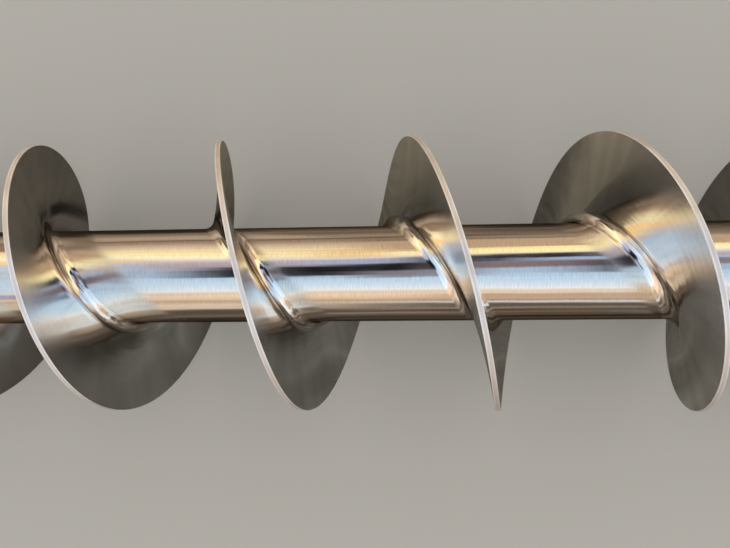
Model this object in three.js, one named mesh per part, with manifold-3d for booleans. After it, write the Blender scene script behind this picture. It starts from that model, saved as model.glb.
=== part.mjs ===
// Polished stainless-steel screw of a screw conveyor: a hollow centre tube that carries six
// right-hand flights, one pitch each, with a keyed drive shaft at one end and a tail journal at
// the other. Millimetres. The screw's axis is X, the origin is the centre of the drive shaft's
// flat end face, and +Z is up.
import * as THREE from "three";
import { mergeVertices } from "three/addons/utils/BufferGeometryUtils.js";
import Module from "manifold-3d";

// Driving dimensions: the screw.
const FLIGHT_OD = 170; // outside diameter of the flights
const PITCH = 116; // advance of the flights in one turn, about two thirds of the diameter
const FLIGHT_COUNT = 6; // one-turn flights, welded on end to end
const SHEET = 3; // thickness of the flight sheet
const TUBE_OD = 60.3; // two-inch pipe
const TUBE_WALL = 2.77; // light-wall stainless pipe
const BARE_TUBE = 42; // tube left bare beyond the flights, at each end

// Driving dimensions: the way a flat ring comes off the press that pulls it to the pitch.
const WAVE = 1.85; // how far the flight wavers along the axis, two waves in each turn
const WAVE_CREST = 109; // degrees round the axis from +Y to the crest of a wave
const LEAN = 5; // how much nearer to the drive end the sheet meets the tube than its rim lies

// Driving dimensions: the welds.
const TUBE_LEG = 9; // how far a dressed fillet weld runs out along the tube
const SHEET_LEG = 8; // how far it runs up the flight
const GROOVE = 3; // width of the groove between the tube and an end collar
const GROOVE_CROWN = 0.6; // how far the groove's weld stands proud of the tube
const SHAFT_FILLET = 4; // leg of the weld between a collar and its shaft

// Driving dimensions: the ends.
const COLLAR_SHOULDER = 10; // length of a collar that shows beyond the tube
const COLLAR_SPIGOT = 25; // length of a collar inside the tube
const COLLAR_CHAMFER = 2;
const SHAFT_D = 40; // where a shaft passes through its collar
const JOURNAL_D = 35; // where a bearing or a coupling sits on it
const SHAFT_NECK = 32; // length of the thick part outside the collar
const DRIVE_OUT = 90; // length of the drive shaft outside its collar
const TAIL_OUT = 60; // length of the tail shaft outside its collar
const SHAFT_INSIDE = 35; // length of a shaft beyond its collar's outer face
const SHAFT_CHAMFER = 1.5;
const KEY_WIDTH = 10;
const KEY_HEIGHT = 8;
const KEY_LENGTH = 45;
const KEY_SINK = 5; // depth of the keyway below the top of the journal
const KEY_START = 5; // from the end face to the keyway

// Fineness and clearances.
const GAP = 0.35; // between pieces that touch
const STEPS = 48; // facets in one turn of a flight
const TURNED_STEPS = 36; // facets round a turned piece
const RINGS = 3; // facets across a flight from the tube to the rim
const SPLIT = 0.15; // degrees taken off each end of a flight and its welds
const START_ANGLE = -90; // a flight starts and ends underneath

// Places worked out from those.
const FLIGHT_R = FLIGHT_OD / 2;
const TUBE_R = TUBE_OD / 2;
const BORE_R = TUBE_R - TUBE_WALL;
const SHAFT_R = SHAFT_D / 2;
const JOURNAL_R = JOURNAL_D / 2;
const TUBE_START = DRIVE_OUT + COLLAR_SHOULDER + GROOVE;
const FLIGHT_START = TUBE_START + BARE_TUBE;
const FLIGHT_END = FLIGHT_START + FLIGHT_COUNT * PITCH;
const TUBE_END = FLIGHT_END + BARE_TUBE;
const TAIL_FACE = TUBE_END + GROOVE + COLLAR_SHOULDER; // outer face of the tail collar

const wasm = await Module();
wasm.setup();

const finishes = {
  polished: { color: 0xd6c8ae, roughness: 0.15, metalness: 1 },
  brushed: { color: 0x8a8475, roughness: 0.4, metalness: 1 },
  dressed: { color: 0xc3b79f, roughness: 0.25, metalness: 1 },
  turned: { color: 0xb4b2ab, roughness: 0.3, metalness: 1 },
};

const screw = new THREE.Group();

function addPiece(name, geometry, finish) {
  const piece = new THREE.Mesh(geometry, new THREE.MeshStandardMaterial(finishes[finish]));
  piece.name = name;
  screw.add(piece);
}

// Where the middle of the sheet's rim crosses the angle, in millimetres along the axis: it
// advances evenly by the pitch in each turn, and wavers a little about that.
function flightX(turns) {
  const angle = START_ANGLE + 360 * turns;
  const wave = WAVE * Math.cos(THREE.MathUtils.degToRad(2 * (angle - WAVE_CREST)));
  return FLIGHT_START + PITCH * turns + wave;
}

// Half the sheet's width along the axis, which is more than half its thickness because the
// sheet climbs: by the pitch over the circumference at that radius.
function halfSheet(radius) {
  const climb = PITCH / (2 * Math.PI * radius);
  return (SHEET / 2) * Math.hypot(1, climb);
}

// How far the sheet lies back from its rim at a radius: it leans in a straight line from the
// rim down to the tube.
function leanBack(radius) {
  return (LEAN * (FLIGHT_R - radius)) / (FLIGHT_R - TUBE_R);
}

// Bends a straight bar round the axis. The bar's x is the distance along the axis from the
// middle of the sheet, its y is the radius, and its z runs from 0 to 1 along one turn.
function bend(bar, flight, offset) {
  const points = bar.getAttribute("position");
  const trim = SPLIT / 360;
  for (let i = 0; i < points.count; i++) {
    const radius = points.getY(i);
    const turns = flight - 1 + trim + points.getZ(i) * (1 - 2 * trim);
    const angle = THREE.MathUtils.degToRad(START_ANGLE + 360 * turns);
    const x = flightX(turns) - leanBack(radius) + offset(points.getX(i), radius);
    points.setXYZ(i, x, radius * Math.cos(angle), radius * Math.sin(angle));
  }
  return bar;
}

// One flight: a flat bar on edge, bent round the tube for one turn. Its rings of points are each
// wider than the last by the same share, because its twist is sharpest at the tube.
function makeFlight(flight) {
  const inner = TUBE_R + GAP;
  const bar = new THREE.BoxGeometry(2, 1, 1, 1, RINGS, STEPS);
  bar.translate(0, 0.5, 0.5);
  const points = bar.getAttribute("position");
  for (let i = 0; i < points.count; i++) {
    points.setY(i, inner * Math.pow(FLIGHT_R / inner, points.getY(i)));
  }
  return bend(bar, flight, (side, radius) => side * halfSheet(radius));
}

// The fillet weld on one side of a flight: side is -1 towards the drive end and 1 towards the
// tail. Its face is a hollow curve that leaves the tube and meets the sheet smoothly, in two
// facets.
function makeFillet(flight, side) {
  const foot = TUBE_R + GAP;
  const face = halfSheet(foot) + GAP;
  const hollow = new THREE.Shape();
  hollow.moveTo(side * face, foot);
  hollow.lineTo(side * (face + TUBE_LEG), foot);
  hollow.quadraticCurveTo(side * face, foot, side * face, foot + SHEET_LEG);
  hollow.closePath();
  const bar = new THREE.ExtrudeGeometry(hollow, {
    depth: 1,
    steps: STEPS,
    bevelEnabled: false,
    curveSegments: 2,
  });
  return bend(bar, flight, (x) => x);
}

// A piece turned round the screw's axis, from its outline as points of x and radius. The outline
// runs against the clock with x to the right, and ends on the axis or where it began.
function turned(outline) {
  const profile = outline.map(([x, radius]) => new THREE.Vector2(radius, x)).reverse();
  const piece = new THREE.LatheGeometry(profile, TURNED_STEPS);
  return piece.rotateZ(-Math.PI / 2);
}

// The pipe, cut square at both ends.
function makeTube() {
  return turned([
    [TUBE_START, BORE_R],
    [TUBE_END, BORE_R],
    [TUBE_END, TUBE_R],
    [TUBE_START, TUBE_R],
    [TUBE_START, BORE_R],
  ]);
}

// The outline of a piece at the tail end, which a mirror in the screw's middle takes to the
// drive end, where its points then run backwards.
function atEnd(outline, end) {
  const place = (x) => (end === "tail" ? TAIL_FACE + x : DRIVE_OUT - x);
  const placed = outline.map(([x, radius]) => [place(x), radius]);
  return end === "tail" ? placed : placed.reverse();
}

// An end collar: a shoulder as wide as the tube, and a spigot inside it. Here x is 0 at the
// collar's outer face and grows outwards.
function makeCollar(end) {
  const bore = SHAFT_R + GAP;
  const spigot = BORE_R - GAP;
  const inner = -COLLAR_SHOULDER - COLLAR_SPIGOT;
  return turned(
    atEnd(
      [
        [inner, bore],
        [0, bore],
        [0, TUBE_R - COLLAR_CHAMFER],
        [-COLLAR_CHAMFER, TUBE_R],
        [-COLLAR_SHOULDER, TUBE_R],
        [-COLLAR_SHOULDER, spigot],
        [inner, spigot],
        [inner, bore],
      ],
      end,
    ),
  );
}

// The ring of weld in the groove between the tube and a collar, crowned over the tube.
function makeRingWeld(end) {
  const near = -COLLAR_SHOULDER - GAP;
  const far = -COLLAR_SHOULDER - GROOVE + GAP;
  const middle = (near + far) / 2;
  return turned(
    atEnd(
      [
        [far, BORE_R],
        [near, BORE_R],
        [near, TUBE_R],
        [middle, TUBE_R + GROOVE_CROWN],
        [far, TUBE_R],
        [far, BORE_R],
      ],
      end,
    ),
  );
}

// The small fillet weld where a shaft comes out of its collar.
function makeShaftWeld(end) {
  const foot = SHAFT_R + GAP;
  const back = GAP;
  const hollow = SHAFT_FILLET * (1 - Math.SQRT1_2);
  return turned(
    atEnd(
      [
        [back, foot],
        [back + SHAFT_FILLET, foot],
        [back + hollow, foot + hollow],
        [back, foot + SHAFT_FILLET],
        [back, foot],
      ],
      end,
    ),
  );
}

// A shaft: the thick part runs through the collar, and the journal beyond it has a chamfered end.
function makeShaft(end) {
  const out = end === "tail" ? TAIL_OUT : DRIVE_OUT;
  return turned(
    atEnd(
      [
        [-SHAFT_INSIDE, 0],
        [out, 0],
        [out, JOURNAL_R - SHAFT_CHAMFER],
        [out - SHAFT_CHAMFER, JOURNAL_R],
        [SHAFT_NECK + SHAFT_CHAMFER, JOURNAL_R],
        [SHAFT_NECK, JOURNAL_R + SHAFT_CHAMFER],
        [SHAFT_NECK - SHAFT_CHAMFER, SHAFT_R],
        [-SHAFT_INSIDE, SHAFT_R],
        [-SHAFT_INSIDE, 0],
      ],
      end,
    ),
  );
}

// A bar with half-round ends, standing on the keyway's floor: the key, or with room all round it
// the cutter that makes the keyway.
function makeKeyBar(room, height) {
  const radius = KEY_WIDTH / 2 + room;
  const first = KEY_START + KEY_WIDTH / 2;
  const last = KEY_START + KEY_LENGTH - KEY_WIDTH / 2;
  const outline = new THREE.Shape();
  outline.absarc(last, 0, radius, -Math.PI / 2, Math.PI / 2, false);
  outline.absarc(first, 0, radius, Math.PI / 2, (3 * Math.PI) / 2, false);
  outline.closePath();
  const bar = new THREE.ExtrudeGeometry(outline, {
    depth: height,
    bevelEnabled: false,
    curveSegments: 8,
  });
  return bar.translate(0, 0, JOURNAL_R - KEY_SINK);
}

function toSolid(geometry) {
  const bare = geometry.clone();
  bare.deleteAttribute("normal");
  bare.deleteAttribute("uv");
  const merged = mergeVertices(bare, 1e-3);
  return new wasm.Manifold(
    new wasm.Mesh({
      numProp: 3,
      vertProperties: merged.getAttribute("position").array,
      triVerts: new Uint32Array(merged.index.array),
    }),
  );
}

function toGeometry(solid) {
  const mesh = solid.getMesh();
  const geometry = new THREE.BufferGeometry();
  geometry.setAttribute("position", new THREE.BufferAttribute(mesh.vertProperties, 3));
  geometry.setIndex(new THREE.BufferAttribute(mesh.triVerts, 1));
  geometry.computeVertexNormals();
  return geometry;
}

// The drive shaft with its keyway cut on top.
function makeDriveShaft() {
  const cutter = makeKeyBar(GAP, KEY_HEIGHT);
  return toGeometry(toSolid(makeShaft("drive")).subtract(toSolid(cutter)));
}

// The key, lifted clear of the keyway's floor.
function makeKey() {
  return makeKeyBar(0, KEY_HEIGHT - GAP).translate(0, 0, GAP);
}

addPiece("centre_tube", makeTube(), "polished");
for (let flight = 1; flight <= FLIGHT_COUNT; flight++) {
  addPiece("flight_" + flight, makeFlight(flight), "brushed");
  addPiece("drive_side_weld_" + flight, makeFillet(flight, -1), "dressed");
  addPiece("tail_side_weld_" + flight, makeFillet(flight, 1), "dressed");
}
for (const end of ["drive", "tail"]) {
  addPiece(end + "_collar", makeCollar(end), "turned");
  addPiece(end + "_ring_weld", makeRingWeld(end), "dressed");
  addPiece(end + "_shaft_weld", makeShaftWeld(end), "dressed");
}
addPiece("drive_shaft", makeDriveShaft(), "turned");
addPiece("drive_key", makeKey(), "turned");
addPiece("tail_shaft", makeShaft("tail"), "turned");

export default screw;
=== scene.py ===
import math

import bpy
import numpy as np
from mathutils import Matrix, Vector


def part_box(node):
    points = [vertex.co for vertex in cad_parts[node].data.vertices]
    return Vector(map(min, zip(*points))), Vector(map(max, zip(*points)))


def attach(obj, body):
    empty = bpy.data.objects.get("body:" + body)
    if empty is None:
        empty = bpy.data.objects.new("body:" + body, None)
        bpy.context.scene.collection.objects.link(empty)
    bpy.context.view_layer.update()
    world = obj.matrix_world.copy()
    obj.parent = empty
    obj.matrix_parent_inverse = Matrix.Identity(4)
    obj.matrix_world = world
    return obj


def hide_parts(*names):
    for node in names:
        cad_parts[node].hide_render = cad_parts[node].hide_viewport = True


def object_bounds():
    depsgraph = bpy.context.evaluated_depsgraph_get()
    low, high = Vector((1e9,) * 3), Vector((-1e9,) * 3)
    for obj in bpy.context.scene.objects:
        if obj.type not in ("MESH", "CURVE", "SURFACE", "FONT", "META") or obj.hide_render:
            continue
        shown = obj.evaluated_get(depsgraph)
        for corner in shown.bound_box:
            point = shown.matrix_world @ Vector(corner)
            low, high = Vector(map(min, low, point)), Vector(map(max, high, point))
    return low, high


# A polished stainless-steel conveyor screw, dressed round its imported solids. The screw's axis is
# X, the drive end is at 0, and a point of the flights is given by how many turns it lies from
# their start. Sizes are in millimetres until a mesh is written, which is in metres.

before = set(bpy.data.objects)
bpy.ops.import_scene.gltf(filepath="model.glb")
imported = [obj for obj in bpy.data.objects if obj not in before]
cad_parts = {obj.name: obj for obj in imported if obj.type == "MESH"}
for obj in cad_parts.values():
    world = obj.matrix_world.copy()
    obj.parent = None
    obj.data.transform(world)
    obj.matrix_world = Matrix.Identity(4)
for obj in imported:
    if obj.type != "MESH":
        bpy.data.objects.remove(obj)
CAD_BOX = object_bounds()

MM = 0.001


def node_box(name):
    """The lowest and highest corner of a node of the frame, in millimetres."""
    low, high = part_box(name)
    return np.array(low) / MM, np.array(high) / MM


# Sizes taken from the frame.
TUBE_LOW, TUBE_HIGH = node_box("centre_tube")
TUBE_R = TUBE_HIGH[2]
FLIGHT_R = node_box("flight_1")[1][2]
PITCH = node_box("flight_2")[0][0] - node_box("flight_1")[0][0]
FLIGHTS = sorted(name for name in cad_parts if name.startswith("flight_"))
SCREW_END = node_box("tail_shaft")[1][0]
COLLAR_FACE = {"drive": node_box("drive_collar")[0][0], "tail": node_box("tail_collar")[1][0]}
SHAFT_R = node_box("drive_shaft")[1][1]
KEY_LOW, KEY_HIGH = node_box("drive_key")

# Sizes that the frame's boxes don't give, the same as in the part's source.
SHEET = 3.0  # thickness of the flight sheet
TUBE_WALL = 2.77
BARE_TUBE = 42.0  # pipe left bare beyond the flights, at each end
WAVE = 1.85  # how far the flight wavers along the axis, two waves in each turn
WAVE_CREST = 109.0  # degrees round the axis from +Y to the crest of a wave
LEAN = 5.0  # how much nearer to the drive end the sheet meets the pipe than its rim lies
START_ANGLE = -90.0  # degrees: a flight starts and ends underneath
TUBE_LEG = 9.0  # how far a weld beside a flight runs out along the pipe
SHEET_LEG = 8.0  # how far it runs up the flight
GROOVE = 3.0  # width of the groove between the pipe and an end collar
GROOVE_CROWN = 0.6  # how far the groove's weld stands proud of the pipe
SHAFT_FILLET = 4.0  # leg of the weld between a collar and its shaft
COLLAR_SHOULDER = 10.0  # length of a collar that shows beyond the pipe
COLLAR_SPIGOT = 25.0  # length of a collar inside the pipe
COLLAR_CHAMFER = 2.0
JOURNAL_R = 17.5
SHAFT_NECK = 32.0  # length of a shaft's thick part outside its collar
SHAFT_INSIDE = 35.0  # length of a shaft beyond its collar's outer face
SHAFT_CHAMFER = 1.5

FLIGHT_START = TUBE_LOW[0] + BARE_TUBE
BORE_R = TUBE_R - TUBE_WALL

# Detail that the solids leave out.
EASE = 0.35  # rounding of edges that the eye sees as sharp
KEY_EDGE = 0.4  # chamfer round the top of the key
WELD_WAVER = 0.5  # how far a weld's legs waver along the seam
WELD_SLACK = 0.6  # taken off the legs, so that they waver inside their full size
RIDGE = 0.06  # height of the ridge between two passes of the bit that ground the welds
RIDGE_WAVER = 0.05
RIDGE_PLACE = 0.62  # where the ridge lies from a weld's toe, 0, to its top, 1
RIDGE_WIDTH = 0.1  # in the same shares
RUN_OUT = 7.0  # how far before the ends of the screw the welds along it start to die away
SEAM_HALF = 3.0  # half the width of the dressed seam between two flights
SEAM_FADE = 1.5  # width over which it fades into the sheet

# How pieces sink into each other, so that no slit shows between them.
EMBED = 0.005  # the toes of a weld into what they join
TUCK = 0.2  # the faces of the sheet in under the pipe's surface
WELD_BACK = 0.5  # the hidden back of a weld into the sheet and the pipe
POLE = 0.05  # radius of the flat cap that closes a shaft's end on the axis

# How fine the surfaces are.
STEPS_A_TURN = 384
STEPS_ROUND = 192
WELD_POINTS = 37  # across a weld, from its toe to its top
EASE_POINTS = 5  # round an eased edge
ARC_POINTS = 9  # round a larger arc of an outline
KEY_ARC_POINTS = 25  # round each end of the key


def flight_x(turns):
    """Where the middle of the sheet's rim lies along the axis: a steady advance of one pitch a
    turn, and a waver of two waves a turn."""
    angle = START_ANGLE + 360 * turns
    return FLIGHT_START + PITCH * turns + WAVE * np.cos(np.radians(2 * (angle - WAVE_CREST)))


def half_sheet(radius):
    """Half the sheet's width along the axis: half its thickness times the slant of its lean,
    which is the pitch over the circumference."""
    return SHEET / 2 * np.hypot(1, PITCH / (2 * math.pi * radius))


# Marks on a flight are counted along its outline, from where it starts at the pipe. This is how
# far along it the middle of the rim lies.
RIM_MIDDLE = (FLIGHT_R - EASE) - (TUBE_R - TUCK) + EASE * math.pi / 2 + half_sheet(FLIGHT_R) - EASE


def linear(hex_colour):
    """An sRGB hex colour as linear red, green, blue and alpha."""
    shares = np.array([int(hex_colour[i : i + 2], 16) for i in (1, 3, 5)]) / 255
    low = shares / 12.92
    high = ((shares + 0.055) / 1.055) ** 2.4
    return (*np.where(shares <= 0.04045, low, high), 1.0)


def add_node(tree, kind, inputs=None, stops=(), **settings):
    """Adds a node with its settings. An input is a plain value, or a socket to link from. A
    colour ramp's stops are (position, hex colour), in rising order."""
    made = tree.nodes.new(kind)
    for key, value in settings.items():
        setattr(made, key, value)
    for key, value in (inputs or {}).items():
        if isinstance(value, bpy.types.NodeSocket):
            tree.links.new(value, made.inputs[key])
        else:
            made.inputs[key].default_value = value
    while stops and len(made.color_ramp.elements) < len(stops):
        made.color_ramp.elements.new(0.5)
    for number, (position, colour) in enumerate(stops):
        made.color_ramp.elements[number].position = position
        made.color_ramp.elements[number].color = linear(colour)
    return made


def new_material(name):
    material = bpy.data.materials.new(name)
    material.use_nodes = True
    material.node_tree.nodes.clear()
    return material, material.node_tree


def lay_marks(tree, along_mm, across_mm, detail=2.0, distort=0.0):
    """Marks or clouds, about along_mm long and across_mm wide, as values from 0 to 1. The
    pieces' UV map is in metres, x along the polishing marks and y across them."""
    uv = add_node(tree, "ShaderNodeUVMap", uv_map="marks").outputs["UV"]
    scale = (1 / (along_mm * MM), 1 / (across_mm * MM), 1)
    drawn = add_node(tree, "ShaderNodeMapping", {"Vector": uv, "Scale": scale}).outputs["Vector"]
    inputs = {"Vector": drawn, "Scale": 1.0, "Detail": detail, "Distortion": distort}
    noise = add_node(tree, "ShaderNodeTexNoise", inputs, noise_dimensions="2D").outputs["Fac"]
    inputs = {"Value": noise, "From Min": 0.3, "From Max": 0.7}
    return add_node(tree, "ShaderNodeMapRange", inputs).outputs["Result"]


def blend(tree, parts, start=0.0):
    """Adds up values, each times its own share, above a starting value."""
    total = start
    for value, share in parts:
        inputs = {0: value, 1: share, 2: total}
        total = add_node(tree, "ShaderNodeMath", inputs, operation="MULTIPLY_ADD").outputs[0]
    return total


def tilt(tree, along, across):
    """A surface tilted by marks, as (marks, slope) pairs along the polishing marks and across
    them. Marks run from 0 to 1, so half of each slope is taken off to keep the mean level."""
    sides = []
    for parts in (along, across):
        level = 0.5 - sum(share for marks, share in parts) / 2
        sides.append(blend(tree, parts, level))
    inputs = {"Red": sides[0], "Green": sides[1], "Blue": 1.0}
    colour = add_node(tree, "ShaderNodeCombineColor", inputs).outputs["Color"]
    inputs = {"Color": colour, "Strength": 1.0}
    return add_node(tree, "ShaderNodeNormalMap", inputs, uv_map="marks").outputs["Normal"]


def finish_steel(tree, shades, colours, roughness, normal, anisotropy, edge):
    """The steel itself: metallic, coloured by shades from 0 to 1 between two colours, with
    highlights drawn out across the polishing marks, and its own tint where it is seen edge on."""
    stops = [(0.0, colours[0]), (1.0, colours[1])]
    colour = add_node(tree, "ShaderNodeValToRGB", {"Fac": shades}, stops).outputs["Color"]
    tangent = add_node(tree, "ShaderNodeTangent", direction_type="UV_MAP", uv_map="marks")
    inputs = {
        "Base Color": colour,
        "Metallic": 1.0,
        "Roughness": roughness,
        "Anisotropic": anisotropy,
        "Anisotropic Rotation": 0.25,
        "Specular Tint": linear(edge),
        "Tangent": tangent.outputs["Tangent"],
        "Normal": normal,
    }
    steel = add_node(tree, "ShaderNodeBsdfPrincipled", inputs)
    add_node(tree, "ShaderNodeOutputMaterial", {"Surface": steel.outputs["BSDF"]})


def mirror_polished_pipe():
    """Stainless pipe polished on a belt that runs round it: a mirror with a faint grain, whose
    reflections fray a little at their edges and wander where the belt dwelt. The real marks are
    about 0.05 mm apart, too fine to show, so they are drawn 0.6 mm apart."""
    material, tree = new_material("mirror_polished_pipe")
    grain = lay_marks(tree, along_mm=5.0, across_mm=0.6, detail=3.0)
    clouds = lay_marks(tree, along_mm=25.0, across_mm=90.0)
    haze = lay_marks(tree, along_mm=18.0, across_mm=30.0, distort=0.5)
    roughness = blend(tree, [(haze, 0.04)], 0.09)
    normal = tilt(tree, along=[(grain, 0.0035), (clouds, 0.012)], across=[(grain, 0.003)])
    finish_steel(tree, grain, ("#ccc7bf", "#d6d1ca"), roughness, normal, 0.96, "#a08c78")
    return material


def satin_brushed_sheet():
    """Stainless sheet brushed in circles round the axis and buffed near the pipe: faint rings,
    soft streaks from the axis to the rim, and reflections that blur towards the rim. Its colour
    is painted darker towards the rim, a painted shade, and lighter in the streaks, a painted
    sheen; the streaks tilt the surface a little too. The real scratches are about 0.1 mm apart,
    too fine to show, so the rings are drawn 1.2 mm apart.
    Underneath, where two flights are butt welded, the seam is ground flush: a duller, ragged
    stripe from the pipe to the rim."""
    material, tree = new_material("satin_brushed_sheet")
    rings = lay_marks(tree, along_mm=80.0, across_mm=1.2, detail=3.0)
    streaks = lay_marks(tree, along_mm=10.0, across_mm=70.0, detail=2.0, distort=0.3)
    clouds = lay_marks(tree, along_mm=45.0, across_mm=25.0, detail=2.0, distort=0.4)
    place = add_node(tree, "ShaderNodeTexCoord").outputs["Object"]
    inputs = {0: place, 1: (0.0, 1.0, 1.0)}
    flat = add_node(tree, "ShaderNodeVectorMath", inputs, operation="MULTIPLY").outputs[0]
    radius = add_node(tree, "ShaderNodeVectorMath", {0: flat}, operation="LENGTH").outputs["Value"]
    # Painted shade: outwards from the buffed ring the sheet grows rougher, and its colour is painted
    # darker towards the rim.
    buffed_and_lit_to = TUBE_R + 20.0
    dullest_and_shaded_from = FLIGHT_R - 5.0
    inputs = {"Value": radius, "From Min": buffed_and_lit_to * MM, "From Max": dullest_and_shaded_from * MM}
    outwards = add_node(tree, "ShaderNodeMapRange", inputs).outputs["Result"]
    sides = add_node(tree, "ShaderNodeSeparateXYZ", {"Vector": place}).outputs
    aside = add_node(tree, "ShaderNodeMath", {0: sides["Y"]}, operation="ABSOLUTE").outputs[0]
    aside = blend(tree, [(rings, MM), (clouds, MM)], aside)
    faded = SEAM_HALF + SEAM_FADE
    inputs = {"Value": aside, "From Min": faded * MM, "From Max": SEAM_HALF * MM}
    seam = add_node(tree, "ShaderNodeMapRange", inputs).outputs["Result"]
    inputs = {"Value": sides["Z"], "From Min": -BORE_R * MM, "From Max": -TUBE_R * MM, "To Max": seam}
    seam = add_node(tree, "ShaderNodeMapRange", inputs).outputs["Result"]
    # The colour: painted darker towards the rim (painted shade) and lighter in the soft streaks (a
    # painted sheen); the rings, clouds and the duller seam are the steel's own tone.
    parts = [(outwards, -0.3), (rings, 0.25), (clouds, 0.1), (streaks, 0.5), (seam, -0.6)]
    shades = blend(tree, parts, 0.55)
    roughness = blend(tree, [(outwards, 0.16), (clouds, 0.04), (seam, 0.12)], 0.08)
    normal = tilt(tree, along=[(streaks, 0.012)], across=[(rings, 0.016), (clouds, 0.008)])
    finish_steel(tree, shades, ("#cfcdc9", "#f8f7f5"), roughness, normal, 0.75, "#faf9f7")
    return material


def linished_edge():
    """The sheet's cut edge, dressed on a belt along the rim: satin, with fine lines that run its
    length, drawn 0.4 mm apart because the real ones are too fine to show. Its two corners are
    painted brighter than its middle, a painted highlight along each edge of the rim."""
    material, tree = new_material("linished_edge")
    lines = lay_marks(tree, along_mm=25.0, across_mm=0.4, detail=3.0)
    clouds = lay_marks(tree, along_mm=14.0, across_mm=8.0)
    place = add_node(tree, "ShaderNodeUVMap", uv_map="marks").outputs["UV"]
    across = add_node(tree, "ShaderNodeSeparateXYZ", {"Vector": place}).outputs["Y"]
    inputs = {0: across, 1: RIM_MIDDLE * MM}
    aside = add_node(tree, "ShaderNodeMath", inputs, operation="SUBTRACT").outputs[0]
    aside = add_node(tree, "ShaderNodeMath", {0: aside}, operation="ABSOLUTE").outputs[0]
    aside = blend(tree, [(clouds, 0.3 * MM)], aside)
    # Painted highlight: the rim's two corners are painted bright and its middle darker.
    painted_shade_half, painted_highlight_from = 0.7, 1.3
    inputs = {"Value": aside, "From Min": painted_highlight_from * MM, "From Max": painted_shade_half * MM}
    middle = add_node(tree, "ShaderNodeMapRange", inputs).outputs["Result"]
    shades = blend(tree, [(lines, 0.3), (clouds, 0.2), (middle, -0.5)], 0.5)
    roughness = blend(tree, [(lines, 0.1)], 0.68)
    normal = tilt(tree, along=[(clouds, 0.05)], across=[(lines, 0.08)])
    finish_steel(tree, shades, ("#ddd3cb", "#ffffff"), roughness, normal, 0.3, "#f6f2ee")
    return material


def polished_fillet():
    """Weld metal ground hollow with a round bit and polished: a mirror that the bit left
    slightly uneven, so its reflections run in wavy streaks along the seam."""
    material, tree = new_material("polished_fillet")
    marks = lay_marks(tree, along_mm=14.0, across_mm=1.2, detail=2.0)
    clouds = lay_marks(tree, along_mm=10.0, across_mm=6.0)
    roughness = blend(tree, [(clouds, 0.05)], 0.07)
    normal = tilt(tree, along=[(clouds, 0.03)], across=[(marks, 0.03)])
    finish_steel(tree, marks, ("#d6d2cb", "#eae7e2"), roughness, normal, 0.3, "#b3a290")
    return material


def fine_turned_bar():
    """Stainless bar left from a lathe's finishing cut: even fine grooves round the girth, drawn
    0.5 mm apart because the real ones, about 0.1 mm apart, are too fine to show."""
    material, tree = new_material("fine_turned_bar")
    grooves = lay_marks(tree, along_mm=90.0, across_mm=0.5, detail=2.0)
    clouds = lay_marks(tree, along_mm=25.0, across_mm=12.0)
    roughness = blend(tree, [(clouds, 0.08)], 0.22)
    normal = tilt(tree, along=[(clouds, 0.01)], across=[(grooves, 0.08)])
    finish_steel(tree, grooves, ("#b9b6b0", "#d2cfca"), roughness, normal, 0.7, "#8f8a84")
    return material


MATERIALS = {
    "pipe": mirror_polished_pipe(),
    "sheet": satin_brushed_sheet(),
    "edge": linished_edge(),
    "fillet": polished_fillet(),
    "turned": fine_turned_bar(),
}


def grid_faces(rows, columns, wrap_rows):
    """The quads of a grid of points, as row and column numbers of each corner. Columns close on
    themselves, and rows do where they wrap: numbers run one past the last there, so that the UV
    map has a value of its own on each side of the seam."""
    i, j = np.meshgrid(np.arange(rows - (not wrap_rows)), np.arange(columns), indexing="ij")
    corner_rows = np.stack([i, i + 1, i + 1, i], -1).reshape(-1, 4)
    corner_columns = np.stack([j, j, j + 1, j + 1], -1).reshape(-1, 4)
    return corner_rows, corner_columns


def enclosed(points, quads):
    """Six times the volume inside the quads, positive where they face outwards."""
    a, b, c, d = (points[quads[:, k]] for k in range(4))
    return np.einsum("ij,ij->", a, np.cross(b, c)) + np.einsum("ij,ij->", a, np.cross(c, d))


def add_piece(name, grid, marks, wrap_rows, materials, looks=None, sharp=None):
    """Writes a grid of points (rows, columns, 3) as one closed piece and lets it stand for the
    node of its name. Columns always close on themselves; rows do too, or end in flat caps.
    marks is the UV map, (rows + 1, columns + 1, 2). looks gives the material of each column."""
    rows, columns = grid.shape[:2]
    points = grid.reshape(-1, 3)
    corner_rows, corner_columns = grid_faces(rows, columns, wrap_rows)
    quads = (corner_rows % rows) * columns + corner_columns % columns
    uv = marks[corner_rows, corner_columns]
    look = np.zeros(columns, int) if looks is None else np.asarray(looks)
    look = look[corner_columns[:, 0]]
    if enclosed(points, quads) < 0:
        quads = quads[:, ::-1]
        uv = uv[:, ::-1]
        ends = [np.arange(columns), np.arange(columns)[::-1] + (rows - 1) * columns]
    else:
        ends = [np.arange(columns)[::-1], np.arange(columns) + (rows - 1) * columns]
    caps = [] if wrap_rows else ends
    faces = quads.tolist() + [cap.tolist() for cap in caps]
    mesh = bpy.data.meshes.new(name + "_skin")
    mesh.from_pydata(points * MM, [], faces)
    for cap in caps:
        row = cap // columns
        uv = np.concatenate([uv.reshape(-1, 2), marks[row, cap % columns]])
        look = np.append(look, 0)
    layer = mesh.uv_layers.new(name="marks")
    layer.data.foreach_set("uv", (uv.reshape(-1) * MM).astype(np.float32))
    mesh.polygons.foreach_set("material_index", look.astype(np.int32))
    mesh.polygons.foreach_set("use_smooth", np.ones(len(faces), bool))
    if sharp is not None:
        mesh.set_sharp_from_angle(angle=math.radians(sharp))
    mesh.update()
    for material in materials:
        mesh.materials.append(MATERIALS[material])
    piece = bpy.data.objects.new(name + "_dressed", mesh)
    bpy.context.scene.collection.objects.link(piece)
    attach(piece, "root")
    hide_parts(name)
    return piece


def lengths(path):
    """The distance run along a closed line of points, from its first point back to it."""
    steps = np.linalg.norm(np.roll(path, -1, axis=0) - path, axis=-1)
    return np.concatenate([[0.0], np.cumsum(steps)])


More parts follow.
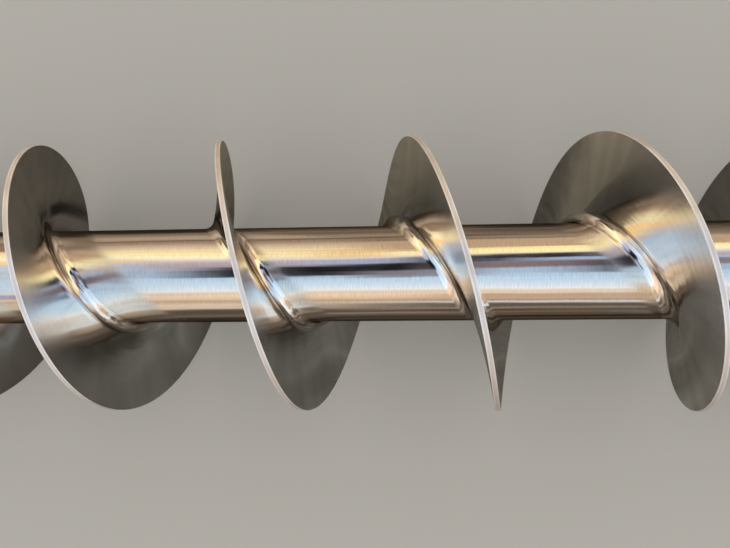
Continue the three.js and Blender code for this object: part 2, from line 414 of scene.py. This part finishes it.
def carry(turns, along, radius):
    """Carries a profile round the axis: a point is its distance along the axis from the middle
    of the sheet and its radius, at each of the turns. Row by row, x is the place of the sheet's
    rim plus that distance, less the lean times the share of the way from the rim in to the pipe,
    and y and z are the radius times the cosine and sine of the angle."""
    angle = np.radians(START_ANGLE + 360 * turns)[:, None]
    inwards = (FLIGHT_R - radius) / (FLIGHT_R - TUBE_R)
    x = flight_x(turns)[:, None] + along - LEAN * inwards
    return np.stack([x, radius * np.cos(angle), radius * np.sin(angle)], -1)


def make_flight(number):
    """One turn of the flight: both faces of the sheet from the pipe to the rim, with the rim's
    two edges rounded off as quarter circles. Points lie closer together beside the rim and on
    it, so that only the edges are shaded round."""
    turns = number - 1 + np.linspace(0, 1, STEPS_A_TURN + 1)
    rounding = np.linspace(0, math.pi / 2, EASE_POINTS)
    top = FLIGHT_R - EASE
    face = np.append(np.linspace(TUBE_R - TUCK, top - 1.0, 14), [top - 0.3, top - 0.02])
    half = half_sheet(face)
    edge = half_sheet(FLIGHT_R) - EASE
    corner = np.stack([edge + EASE * np.cos(rounding), top + EASE * np.sin(rounding)], -1)
    flat = np.linspace(edge - 0.05, 0, 4)[:-1]
    right = np.concatenate(
        [np.stack([half, face], -1), corner, np.stack([flat, np.full(3, FLIGHT_R)], -1)]
    )
    left = right[::-1] * (-1, 1)
    profile = np.concatenate([right, left])
    rim = (profile[:, 1] > top + 0.01) | (np.arange(len(profile)) == len(right) - 1)
    grid = carry(turns, profile[:, 0], profile[:, 1])
    run = 2 * math.pi * (FLIGHT_R + TUBE_R) / 2 * np.append(turns, turns[-1])
    marks = np.stack(np.broadcast_arrays(run[:, None], lengths(profile)), -1)
    piece = add_piece("flight_%d" % number, grid, marks, False, ["sheet", "edge"], rim.astype(int))


def ripples(seed, turns, size, waves):
    """An uneven line that closes on itself each turn: sines of whole numbers of waves a turn,
    with random heights and starts."""
    random = np.random.default_rng(seed)
    counts = np.array(waves)
    heights = random.uniform(0.4, 1.0, len(counts))
    starts = random.uniform(0, 2 * math.pi, len(counts))
    return size * (heights * np.sin(2 * math.pi * turns[:, None] * counts + starts)).sum(-1) / 2


def fullness(turns):
    """How full the welds along the screw are, from 0 to 1. From full to its ends they die away as
    a quarter circle: the root of s x (2 - s), where s is the share of the run-out still to go."""
    to_end = np.minimum(turns, len(FLIGHTS) - turns) * 2 * math.pi * TUBE_R
    share = np.clip(to_end / RUN_OUT, 0.02, 1)
    return np.sqrt(share * (2 - share))[:, None]


def make_fillet(number, side_name, side):
    """The weld along one side of a flight, -1 or 1. With t from 0 at its toe on the pipe to 1 at
    its top on the sheet, it stands tube leg x (1 - t) squared off the sheet and sheet leg x t
    squared off the pipe, a hollow that leaves both smoothly. The legs waver a little along the
    seam, and so does a low ridge, a bell curve over t, between two passes of the bit that ground
    it. Legs and ridge are multiplied by how full the weld is there."""
    turns = number - 1 + np.linspace(0, 1, STEPS_A_TURN + 1)
    seed = 11 if side > 0 else 12
    tube_waver = ripples(seed, turns, WELD_WAVER, [3, 5, 8, 13])
    sheet_waver = ripples(seed + 20, turns, WELD_WAVER, [4, 7, 11, 17])
    ridge_waver = ripples(seed + 40, turns, RIDGE_WAVER, [7, 12, 19, 27])
    tube_leg = (TUBE_LEG - WELD_SLACK + tube_waver)[:, None]
    sheet_leg = (SHEET_LEG - WELD_SLACK + sheet_waver)[:, None]
    t = np.linspace(0, 1, WELD_POINTS)
    ridge = (RIDGE + ridge_waver)[:, None] * np.exp(-(((t - RIDGE_PLACE) / RIDGE_WIDTH) ** 2))
    full = fullness(turns)
    off_pipe = full * (sheet_leg * t**2 + ridge) - EMBED
    off_sheet = full * (tube_leg * (1 - t) ** 2 + ridge) - EMBED
    radius = TUBE_R + off_pipe
    hidden_radius = np.array([TUBE_R + SHEET_LEG / 2, TUBE_R - WELD_BACK, TUBE_R - WELD_BACK])
    hidden_off = np.array([-WELD_BACK, -WELD_BACK, TUBE_LEG / 2])
    rows = len(turns)
    radius = np.concatenate([radius, np.broadcast_to(hidden_radius, (rows, 3))], 1)
    off_sheet = np.concatenate([off_sheet, np.broadcast_to(hidden_off, (rows, 3))], 1)
    grid = carry(turns, side * (half_sheet(radius) + off_sheet), radius)
    run = 2 * math.pi * TUBE_R * np.append(turns, turns[-1])
    profile = np.stack([off_sheet[rows // 2], radius[rows // 2]], -1)
    marks = np.stack(np.broadcast_arrays(run[:, None], lengths(profile)), -1)
    name = "%s_side_weld_%d" % (side_name, number)
    piece = add_piece(name, grid, marks, False, ["fillet"], sharp=50)


def eased(outline, closed):
    """An outline of (x, radius) points with each corner rounded: a parabola that leaves one side
    and joins the next EASE from the corner, or just under halfway along a shorter side."""
    points = np.array(outline, float)
    before = np.roll(points, 1, axis=0) - points
    after = np.roll(points, -1, axis=0) - points
    reach = np.minimum(np.linalg.norm(before, axis=1), np.linalg.norm(after, axis=1)) * 0.45
    reach = np.minimum(reach, EASE)[:, None]
    start = points + reach * before / np.linalg.norm(before, axis=1, keepdims=True)
    end = points + reach * after / np.linalg.norm(after, axis=1, keepdims=True)
    t = np.linspace(0, 1, EASE_POINTS)[None, :, None]
    curve = (1 - t) ** 2 * start[:, None] + 2 * t * (1 - t) * points[:, None] + t**2 * end[:, None]
    if closed:
        return curve.reshape(-1, 2)
    return np.concatenate([points[:1], curve[1:-1].reshape(-1, 2), points[-1:]])


def turn(name, outline, closed, material):
    """A piece turned round the axis from its outline of (x, radius) points: x stays, and y and z
    are the radius times the cosine and sine of the angle, from underneath and back. An outline
    that isn't closed starts and ends beside the axis."""
    profile = eased(outline, closed)
    angle = math.radians(START_ANGLE) + np.linspace(0, 2 * math.pi, STEPS_ROUND, endpoint=False)
    radius = np.repeat(profile[:, 1][:, None], STEPS_ROUND, 1)
    x = np.broadcast_to(profile[:, 0][:, None], radius.shape)
    grid = np.stack([x, radius * np.cos(angle), radius * np.sin(angle)], -1)
    girth = TUBE_R * np.linspace(0, 2 * math.pi, STEPS_ROUND + 1)
    marks = np.stack(np.broadcast_arrays(girth[None, :], lengths(profile)[:, None]), -1)
    piece = add_piece(name, grid, marks, closed, [material], sharp=35)


def make_tube():
    """The pipe: a square-cut ring."""
    low, high = TUBE_LOW[0], TUBE_HIGH[0]
    outline = [(low, BORE_R), (high, BORE_R), (high, TUBE_R), (low, TUBE_R)]
    turn("centre_tube", outline, True, "pipe")


def at_end(outline, end):
    """Places an outline at an end of the screw: x is measured outwards from the collar's face."""
    outwards = 1 if end == "tail" else -1
    return [(COLLAR_FACE[end] + outwards * x, radius) for x, radius in outline]


def make_end(end):
    """The collar in the pipe's end, its ring of weld, the shaft through it and that one's weld."""
    inner = -COLLAR_SHOULDER - COLLAR_SPIGOT
    collar = [
        (inner, SHAFT_R),
        (0, SHAFT_R),
        (0, TUBE_R - COLLAR_CHAMFER),
        (-COLLAR_CHAMFER, TUBE_R),
        (-COLLAR_SHOULDER, TUBE_R),
        (-COLLAR_SHOULDER, BORE_R),
        (inner, BORE_R),
    ]
    turn(end + "_collar", at_end(collar, end), True, "turned")
    near = -COLLAR_SHOULDER + EMBED
    far = -COLLAR_SHOULDER - GROOVE - EMBED
    bulge = np.linspace(0, math.pi, ARC_POINTS)[1:-1]
    middle = (near + far) / 2
    crown = [
        (middle + math.cos(b) * (near - far) / 2, TUBE_R + GROOVE_CROWN * math.sin(b)) for b in bulge
    ]
    ring = [(far, BORE_R), (near, BORE_R), (near, TUBE_R), *crown, (far, TUBE_R)]
    turn(end + "_ring_weld", at_end(ring, end), True, "fillet")
    hollow = np.linspace(0, math.pi / 2, ARC_POINTS)
    arc = [
        (SHAFT_FILLET * (1 - math.sin(h)), SHAFT_R + SHAFT_FILLET * (1 - math.cos(h))) for h in hollow
    ]
    foot = [
        (-EMBED, SHAFT_R + SHAFT_FILLET),
        (-EMBED, SHAFT_R - EMBED),
        (SHAFT_FILLET, SHAFT_R - EMBED),
    ]
    turn(end + "_shaft_weld", at_end([*arc, *foot], end), True, "fillet")
    out = COLLAR_FACE["drive"] if end == "drive" else SCREW_END - COLLAR_FACE["tail"]
    shaft = [
        (-SHAFT_INSIDE, POLE),
        (-SHAFT_INSIDE, SHAFT_R),
        (SHAFT_NECK - SHAFT_CHAMFER, SHAFT_R),
        (SHAFT_NECK, JOURNAL_R + SHAFT_CHAMFER),
        (SHAFT_NECK + SHAFT_CHAMFER, JOURNAL_R),
        (out - SHAFT_CHAMFER, JOURNAL_R),
        (out, JOURNAL_R - SHAFT_CHAMFER),
        (out, POLE),
    ]
    turn(end + "_shaft", at_end(shaft, end), False, "turned")


def make_key():
    """The key: a bar with half-round ends. Round it, x and y are the centre of the nearer end
    plus the radius times the cosine and sine of the angle, and its rows rise from the keyway's
    floor to the top, where the edge is chamfered."""
    low_x, high_x = KEY_LOW[0], KEY_HIGH[0]
    radius = (KEY_HIGH[1] - KEY_LOW[1]) / 2
    right = np.linspace(-math.pi / 2, math.pi / 2, KEY_ARC_POINTS)
    centre = np.repeat([high_x - radius, low_x + radius], KEY_ARC_POINTS)
    angle = np.concatenate([right, right + math.pi])
    heights = [KEY_LOW[2], KEY_HIGH[2] - KEY_EDGE, KEY_HIGH[2]]
    insets = [0.0, 0.0, KEY_EDGE]
    grid = np.stack(
        [
            np.stack(
                [
                    centre + (radius - inset) * np.cos(angle),
                    (radius - inset) * np.sin(angle),
                    np.full(len(angle), height),
                ],
                -1,
            )
            for height, inset in zip(heights, insets)
        ]
    )
    run = lengths(grid[0])
    rise = np.array([*heights, heights[-1]])
    marks = np.stack(np.broadcast_arrays(run[None, :], rise[:, None]), -1)
    piece = add_piece("drive_key", grid, marks, False, ["turned"], sharp=30)


make_tube()
for flight_number in range(1, len(FLIGHTS) + 1):
    make_flight(flight_number)
    make_fillet(flight_number, "drive", -1)
    make_fillet(flight_number, "tail", 1)
for end_name in ("drive", "tail"):
    make_end(end_name)
make_key()


# The ground that the steel mirrors, a painted reflection that only reflections see: rows of
# colours that run across the screw, by the angle from straight down towards +Y, in degrees, as
# the screw's axis sees them, darker near the screw as painted shade. The colours were worked out
# from averages of the photograph's own, taken by the direction and the place that the steel
# mirrors. First the two sides of the ground near the drive end, with a plain stretch or a dark
# loop between them.
GROUND_FRONT = [
    (-88, "#75685d"),
    (-84, "#63564b"),
    (-76, "#665a4f"),
    (-72, "#7f7369"),
    (-68, "#95877a"),
    (-64, "#675e54"),
    (-59, "#504a42"),
]
GROUND_LOOP = [
    (17, "#504b43"),
    (21.5, "#766f65"),
    (24.5, "#766f65"),
    (26.8, "#211c18"),
    (30, "#211c18"),
    (33, "#625c52"),
]
GROUND_BACK = [
    (57, "#504b43"),
    (62, "#9f8a75"),
    (77, "#d7c2ab"),
    (84, "#c9b29d"),
    (86.5, "#5f4a38"),
    (89, "#ab937f"),
]

# Where the ground goes over to another row of colours, from one place along the screw to the
# next, in metres: so the painted shade and light of the mirrored ground change along the screw.
GROUND_CHANGES = [
    (0.272, 0.284, [*GROUND_FRONT, *GROUND_LOOP, *GROUND_BACK]),
    (
        0.36,
        0.42,
        [
            (-86, "#8f7d6e"),
            (-82, "#5f4f43"),
            (-77, "#a09184"),
            (-72, "#7e7570"),
            (-63, "#594c45"),
            (-52, "#6d6c67"),
            (-43, "#605d57"),
            (-37, "#78756e"),
            (-27, "#706d67"),
            (-15, "#4a453f"),
            (0, "#514c45"),
            (35, "#686256"),
            (52, "#827b6a"),
            (60, "#a0917f"),
            (71, "#917e6b"),
            (79, "#b9a18c"),
            (84, "#a08c78"),
            (86.5, "#5a4635"),
            (89, "#98836f"),
        ],
    ),
    (
        0.55,
        0.61,
        [
            (-90, "#a59682"),
            (-87, "#85786c"),
            (-84, "#493d33"),
            (-77, "#837260"),
            (-72, "#6a5c50"),
            (-68, "#7a6c5f"),
            (-62, "#3a3029"),
            (-58, "#463d36"),
            (-52, "#7e7b72"),
            (-44, "#615e57"),
            (-36, "#736f67"),
            (-25, "#6d6a63"),
            (25, "#534e46"),
            (57, "#57524a"),
            (62, "#897d72"),
            (68, "#7b6b5e"),
            (82, "#917e6b"),
            (84.5, "#594636"),
            (87, "#8a7663"),
            (90, "#a08c78"),
        ],
    ),
    (
        0.72,
        0.8,
        [
            (-90, "#b5a999"),
            (-86, "#7f7265"),
            (-80, "#685b4f"),
            (-75, "#8c8379"),
            (-55, "#807b74"),
            (55, "#6d675f"),
            (80, "#9b8875"),
            (90, "#b19d8c"),
        ],
    ),
]


def lay_colours(tree, angle, stops):
    """Colours laid out by an angle, with their places given in degrees from -90 to 90."""
    inputs = {"Value": angle, "From Min": -math.pi / 2, "From Max": math.pi / 2}
    share = add_node(tree, "ShaderNodeMapRange", inputs).outputs["Result"]
    stops = [((degrees + 90) / 180, colour) for degrees, colour in stops]
    return add_node(tree, "ShaderNodeValToRGB", {"Fac": share}, stops).outputs["Color"]


def draw_lines(tree, colour, angle, depth):
    """Draws fine lines along the screw into what the steel mirrors, each a little lighter or
    darker than the colour under it: all that lies about is drawn out into such lines there."""
    inputs = {"W": angle, "Scale": 14.0, "Detail": 3.0, "Roughness": 0.6}
    noise = add_node(tree, "ShaderNodeTexNoise", inputs, noise_dimensions="1D").outputs["Fac"]
    inputs = {"Value": noise, "From Min": 0.3, "From Max": 0.7}
    inputs.update({"To Min": 1 - depth, "To Max": 1 + depth})
    shade = add_node(tree, "ShaderNodeMapRange", inputs).outputs["Result"]
    inputs = {0: colour, "Scale": shade}
    return add_node(tree, "ShaderNodeVectorMath", inputs, operation="SCALE").outputs[0]


def add_floor():
    """A plain pale matt floor that the rims of the flights touch. The steel doesn't mirror it
    plain: what a reflection sees is a painted reflection, the ground's rows of colours with their
    painted shade, and fine lines in them."""
    reach = 6.0
    level = CAD_BOX[0].z
    sides = [(-1, -1), (1, -1), (1, 1), (-1, 1)]
    corners = [(x * reach, y * reach, level) for x, y in sides]
    mesh = bpy.data.meshes.new("floor_sheet")
    mesh.from_pydata(corners, [], [(0, 1, 2, 3)])
    material, tree = new_material("pale_floor_painted_reflection")
    place = add_node(tree, "ShaderNodeTexCoord").outputs["Object"]
    place = add_node(tree, "ShaderNodeSeparateXYZ", {"Vector": place}).outputs
    inputs = {0: place["Y"], 1: FLIGHT_R * MM}
    angle = add_node(tree, "ShaderNodeMath", inputs, operation="ARCTAN2").outputs[0]
    ground = lay_colours(tree, angle, [*GROUND_FRONT, *GROUND_BACK])
    for start, end, stops in GROUND_CHANGES:
        inputs = {"Value": place["X"], "From Min": start, "From Max": end}
        reached = add_node(tree, "ShaderNodeMapRange", inputs, interpolation_type="SMOOTHSTEP")
        inputs = {0: reached.outputs["Result"], 6: ground, 7: lay_colours(tree, angle, stops)}
        ground = add_node(tree, "ShaderNodeMix", inputs, data_type="RGBA").outputs[2]
    ground = draw_lines(tree, ground, angle, 0.22)
    # Painted reflection: glossy rays see the painted ground, every other ray the plain pale floor.
    mirrored = add_node(tree, "ShaderNodeLightPath").outputs["Is Glossy Ray"]
    inputs = {0: mirrored, 6: linear("#b5b2ac"), 7: ground}
    colour = add_node(tree, "ShaderNodeMix", inputs, data_type="RGBA").outputs[2]
    inputs = {"Base Color": colour, "Roughness": 0.9, "Specular IOR Level": 0.2}
    matt = add_node(tree, "ShaderNodeBsdfPrincipled", inputs)
    add_node(tree, "ShaderNodeOutputMaterial", {"Surface": matt.outputs["BSDF"]})
    mesh.materials.append(material)
    floor = bpy.data.objects.new("floor", mesh)
    bpy.context.scene.collection.objects.link(floor)


# The studio over the screw, by the angle from straight up towards +Y, in degrees: what colour
# of soft light comes from there. Its bands run along the screw. The colours were set from such
# averages too.
STUDIO = [
    (-90, "#8b7d70"),
    (-83, "#a99a8b"),
    (-77, "#ac9e90"),
    (-71, "#c8b8a8"),
    (-66, "#b5a18b"),
    (-60, "#dbc1a5"),
    (-52, "#e8cfb4"),
    (-44, "#dfcfc0"),
    (-37, "#e8eef5"),
    (-30, "#d4e6f8"),
    (-14, "#b9d5f0"),
    (3, "#a9bfde"),
    (13, "#b2b6cf"),
    (22, "#aa9da8"),
    (30, "#b3a3a8"),
    (36, "#cbc4cf"),
    (41, "#efe6d4"),
    (46, "#fff8d0"),
    (53, "#ffefb6"),
    (60, "#f4dfb2"),
    (68, "#e2cdae"),
    (76, "#c4b097"),
    (82, "#ae9883"),
    (86, "#9a846d"),
    (90, "#94806a"),
]

# Towards the tail end the bands slant: they shift by so many degrees between two places along
# the screw, given as shares of the direction. On the front side they don't: the shift comes in
# between two angles.
SLANT = 8
SLANT_START = 0.05
SLANT_END = 0.34
LEVEL_TO = -20
SLANTED_FROM = 10

# How bright the studio is, in the steel and for everything else.
MIRRORED_LIGHT = 1.6
PLAIN_LIGHT = 1.1

# The panels' soft edges are as wide as half the panel, but at most so many degrees across the
# screw, and so much of the direction along it.
SOFT_ACROSS = 4
SOFT_ALONG = 0.06

# Panels hung in front of that light: the angle to the middle of each and half its width, in
# degrees, the same two along the screw as shares of the direction, and its colour. Their places
# and colours were set from such averages too, and from comparing renders with the photograph.
PANELS = [
    (70, 16, 0.08, 0.12, "#b39a7d"),
    (90, 7, 0.15, 0.2, "#836f5c"),
    (68, 9, 0.42, 0.24, "#bb9f83"),
    (48, 5, 0.2, 0.1, "#fff2b4"),
    (50, 8, -0.09, 0.05, "#e6c490"),
    (22, 17, -0.68, 0.18, "#ffd596"),
    (67, 23, -0.93, 0.1, "#4a3a2c"),
    (82, 12, -0.63, 0.07, "#8f765c"),
    (4, 8, -0.69, 0.05, "#d9b488"),
    (-18, 22, -0.565, 0.07, "#bdd0e6"),
    (-51, 4, -0.565, 0.07, "#8d90b4"),
    (16, 14, -0.565, 0.07, "#a9cbec"),
    (27, 5, -0.04, 0.12, "#a4aeca"),
    (9, 9, -0.2, 0.12, "#0c0d13"),
    (4, 7, -0.29, 0.07, "#08090e"),
    (12, 10, 0.0, 0.1, "#0f0e14"),
    (-1, 6, 0.04, 0.08, "#7d7c88"),
    (30, 6, 0.13, 0.07, "#17151f"),
    (31.5, 5.5, 0.27, 0.09, "#07060b"),
    (24, 2.5, 0.42, 0.15, "#a3bbdd"),
    (14, 5, 0.36, 0.2, "#85767d"),
    (7, 11, 0.415, 0.045, "#0b0e14"),
    (-57, 4, 0.36, 0.25, "#bba08a"),
    (-69, 1.5, 0.3, 0.22, "#9c8b7c"),
    (-73.5, 2, 0.3, 0.22, "#ccc8cb"),
    (-82, 5, 0.06, 0.1, "#7a7068"),
    (-84, 4, 0.3, 0.2, "#5d544d"),
    (-81, 6, -0.42, 0.16, "#d6c2ab"),
    (-58, 14, 0.7, 0.2, "#d3d9dc"),
]


def hang_panel(tree, light, angle, along, panel):
    """Puts one panel, with its soft edges, in front of the light."""
    middle, half_width, middle_along, half_along, colour = panel
    soft_width = min(half_width, SOFT_ACROSS)
    reaches = [
        (angle, math.radians(middle), math.radians(half_width), math.radians(soft_width)),
        (along, middle_along, half_along, min(half_along, SOFT_ALONG)),
    ]
    cover = 1.0
    for place, centre, half, soft in reaches:
        inputs = {0: place, 1: centre}
        away = add_node(tree, "ShaderNodeMath", inputs, operation="SUBTRACT").outputs[0]
        away = add_node(tree, "ShaderNodeMath", {0: away}, operation="ABSOLUTE").outputs[0]
        inputs = {"Value": away, "From Min": half + soft, "From Max": half}
        inside = add_node(tree, "ShaderNodeMapRange", inputs, interpolation_type="SMOOTHSTEP")
        inputs = {0: inside.outputs["Result"], 1: cover}
        cover = add_node(tree, "ShaderNodeMath", inputs, operation="MULTIPLY").outputs[0]
    inputs = {0: cover, 6: light, 7: linear(colour)}
    return add_node(tree, "ShaderNodeMix", inputs, data_type="RGBA").outputs[2]


def add_studio():
    """Soft light from above. What is reflected in the steel is long bands of it that run along
    the screw, and everything else sees it as plain white."""
    world = bpy.data.worlds.new("studio")
    bpy.context.scene.world = world
    world.use_nodes = True
    tree = world.node_tree
    tree.nodes.clear()
    towards = add_node(tree, "ShaderNodeTexCoord").outputs["Generated"]
    split = add_node(tree, "ShaderNodeSeparateXYZ", {"Vector": towards}).outputs
    angle = add_node(tree, "ShaderNodeMath", {0: split["Y"], 1: split["Z"]}, operation="ARCTAN2")
    angle = angle.outputs[0]
    inputs = {"Value": split["X"], "From Min": SLANT_START, "From Max": SLANT_END}
    inputs["To Max"] = -math.radians(SLANT)
    slant = add_node(tree, "ShaderNodeMapRange", inputs).outputs["Result"]
    inputs = {"Value": angle}
    inputs.update({"From Min": math.radians(LEVEL_TO), "From Max": math.radians(SLANTED_FROM)})
    slanted = add_node(tree, "ShaderNodeMapRange", inputs).outputs["Result"]
    inputs = {0: slant, 1: slanted, 2: angle}
    angle = add_node(tree, "ShaderNodeMath", inputs, operation="MULTIPLY_ADD").outputs[0]
    light = lay_colours(tree, angle, STUDIO)
    for panel in PANELS:
        light = hang_panel(tree, light, angle, split["X"], panel)
    light = draw_lines(tree, light, angle, 0.07)
    bands = add_node(tree, "ShaderNodeBackground", {"Color": light, "Strength": MIRRORED_LIGHT})
    inputs = {"Color": linear("#f2f1ef"), "Strength": PLAIN_LIGHT}
    plain = add_node(tree, "ShaderNodeBackground", inputs)
    glossy = add_node(tree, "ShaderNodeLightPath").outputs["Is Glossy Ray"]
    inputs = {0: glossy, 1: plain.outputs[0], 2: bands.outputs[0]}
    mixed = add_node(tree, "ShaderNodeMixShader", inputs)
    add_node(tree, "ShaderNodeOutputWorld", {"Surface": mixed.outputs[0]})


def add_camera():
    """Straight above the screw, at arm's length, leaning a little to one side."""
    focal_pixels = 583.7
    image_width = 730
    second_turn_top = FLIGHT_START + 1.5 * PITCH
    beyond_that_top = 198.2
    height = 371.4
    tilts = (-0.0012, 0.0592, -0.0117)
    data = bpy.data.cameras.new("camera")
    data.sensor_width = 36.0
    data.lens = data.sensor_width * focal_pixels / image_width
    data.clip_start = 0.01
    camera = bpy.data.objects.new("camera", data)
    camera.location = ((second_turn_top + beyond_that_top) * MM, 0.0, height * MM)
    camera.rotation_euler = tilts
    bpy.context.scene.collection.objects.link(camera)
    bpy.context.scene.camera = camera


add_floor()
add_studio()
add_camera()
bpy.context.scene.view_settings.view_transform = "Standard"
